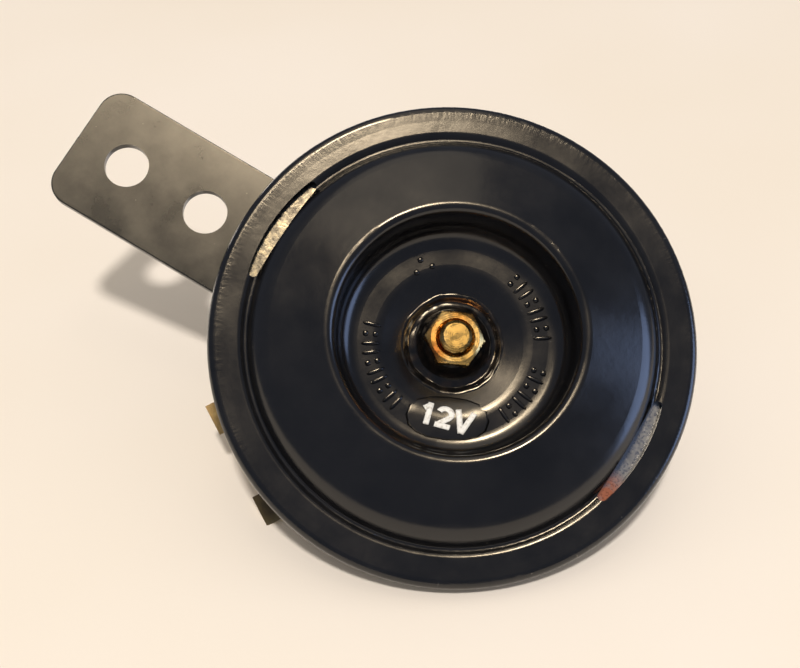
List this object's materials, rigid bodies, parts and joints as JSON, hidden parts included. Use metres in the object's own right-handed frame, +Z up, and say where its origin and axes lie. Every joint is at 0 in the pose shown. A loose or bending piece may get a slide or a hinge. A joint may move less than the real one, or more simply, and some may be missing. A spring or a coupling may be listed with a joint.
{
  "type": "car horn",
  "caption": "Round electric disc horn for a car: black pressed cover with a deep well and side slots, drawn rear shell, spade terminals and a drilled mounting strap.",
  "frame": {"origin": "centre of the strap's outer hole, halfway through the sheet", "axes": "+Z up along the strap, +Y backwards along the horn's axis, so that the horn faces -Y"},
  "size_m": [0.0937, 0.0448, 0.1337],
  "materials": {
    "cover_paint": "gloss black stoving enamel on pressed steel",
    "shell_paint": "semi-gloss black stoving enamel on drawn steel",
    "strap_paint": "satin black paint on flat steel bar",
    "gasket_board": "grey-brown gasket board",
    "diaphragm_zinc": "yellow-passivated zinc on spring steel",
    "yellow_zinc": "yellow-passivated zinc on steel",
    "core_steel": "turned soft iron, bare",
    "zinc_steel": "bright zinc on steel",
    "bobbin_nylon": "natural moulded nylon",
    "winding_copper": "enamelled copper wire",
    "phenolic": "brown phenolic paper board",
    "terminal_brass": "half-hard brass, blanked",
    "spring_bronze": "phosphor bronze strip",
    "contact_silver": "silver alloy contact"
  },
  "bodies": {
    "root": {"front_cover": "cover_paint", "front_gasket": "gasket_board", "diaphragm": "diaphragm_zinc", "rear_gasket": "gasket_board", "rear_shell": "shell_paint", "armature": "yellow_zinc", "front_washer": "cover_paint", "front_lock_washer": "zinc_steel", "front_nut": "yellow_zinc", "pole_core": "zinc_steel", "coil_bobbin": "bobbin_nylon", "coil_winding": "winding_copper", "coil_plate": "core_steel", "plate_rivets": "zinc_steel", "breaker_base": "phenolic", "fixed_contact_arm": "terminal_brass", "fixed_contact_point": "contact_silver", "breaker_spacer": "phenolic", "contact_spring": "spring_bronze", "moving_contact_point": "contact_silver", "contact_pusher": "phenolic", "breaker_clamp": "core_steel", "breaker_rivets": "zinc_steel", "adjusting_screw": "zinc_steel", "terminal_insulator": "phenolic", "supply_terminal": "terminal_brass", "earth_terminal": "terminal_brass", "supply_rivet": "terminal_brass", "earth_rivet": "terminal_brass", "strap": "strap_paint", "strap_lock_washer": "zinc_steel", "strap_nut": "zinc_steel"}
  },
  "joints": []
}
